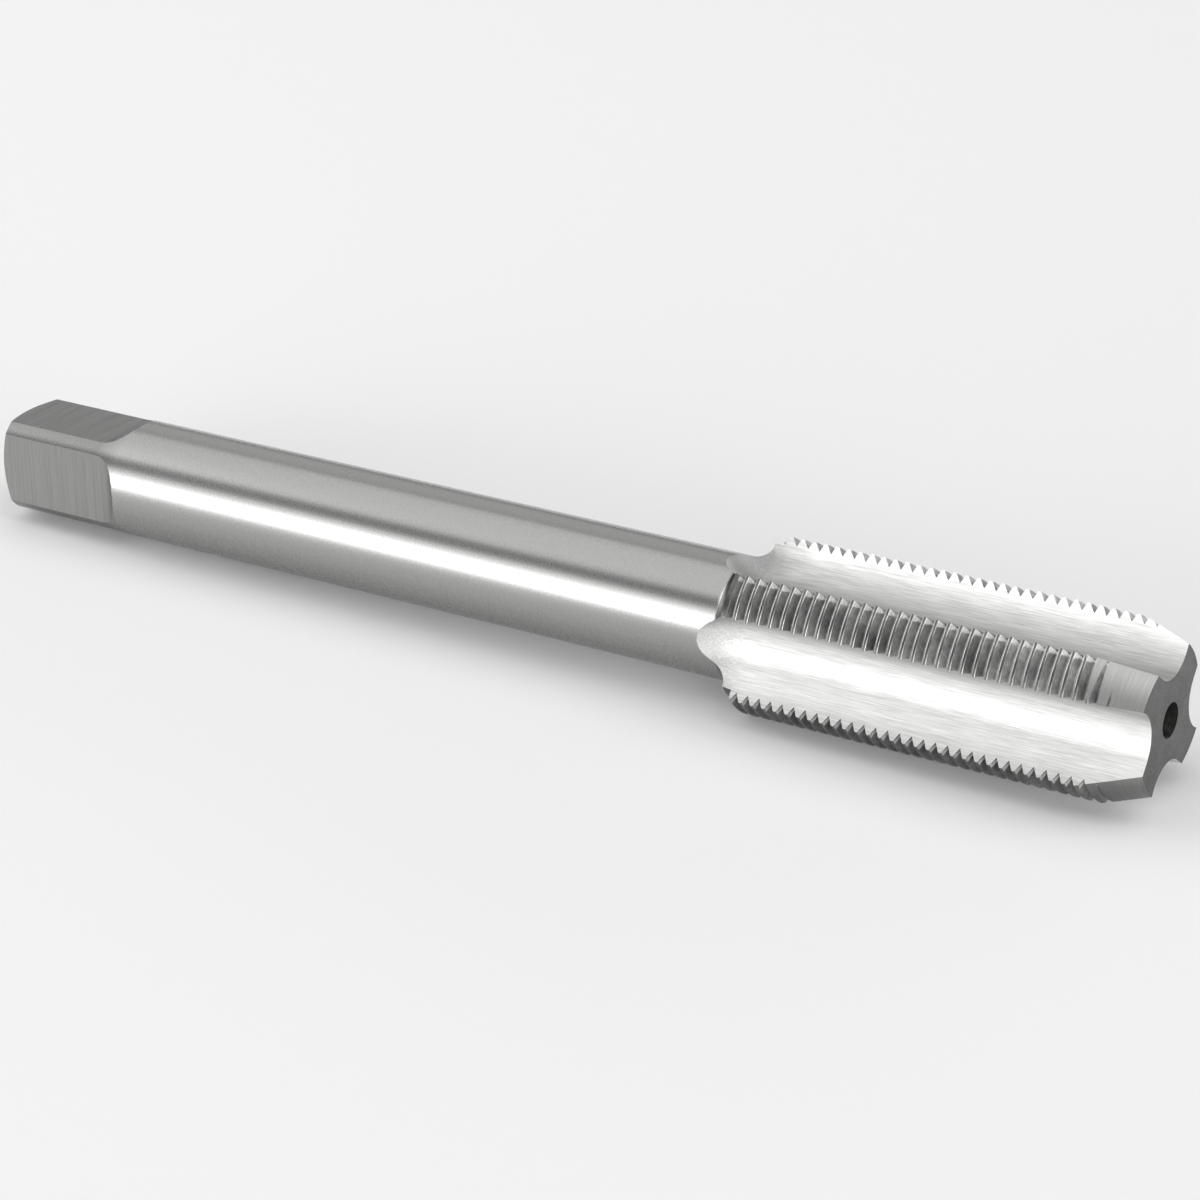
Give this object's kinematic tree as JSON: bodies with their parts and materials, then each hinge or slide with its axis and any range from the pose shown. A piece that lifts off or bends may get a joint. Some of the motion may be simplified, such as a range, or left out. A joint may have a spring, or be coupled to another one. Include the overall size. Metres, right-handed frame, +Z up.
{
  "type": "thread tap",
  "caption": "Straight-fluted hand tap: fine right-hand thread on relieved lands with a tapered lead, a plain round shank and a square drive end.",
  "frame": {"origin": "centre of the bounding box on the surface that the tap lies on", "axes": "+X along the tap from its square end to its tip, +Z up, +Y across. The tap lies as it comes to rest, on two lands and the end of its shank, so its own axis rises about 1.1 degrees towards the tip"},
  "size_m": [0.097, 0.011, 0.0115],
  "materials": {
    "ground_steel": "hardened high speed steel, ground bright"
  },
  "bodies": {
    "root": {"tap": "ground_steel"}
  },
  "joints": []
}
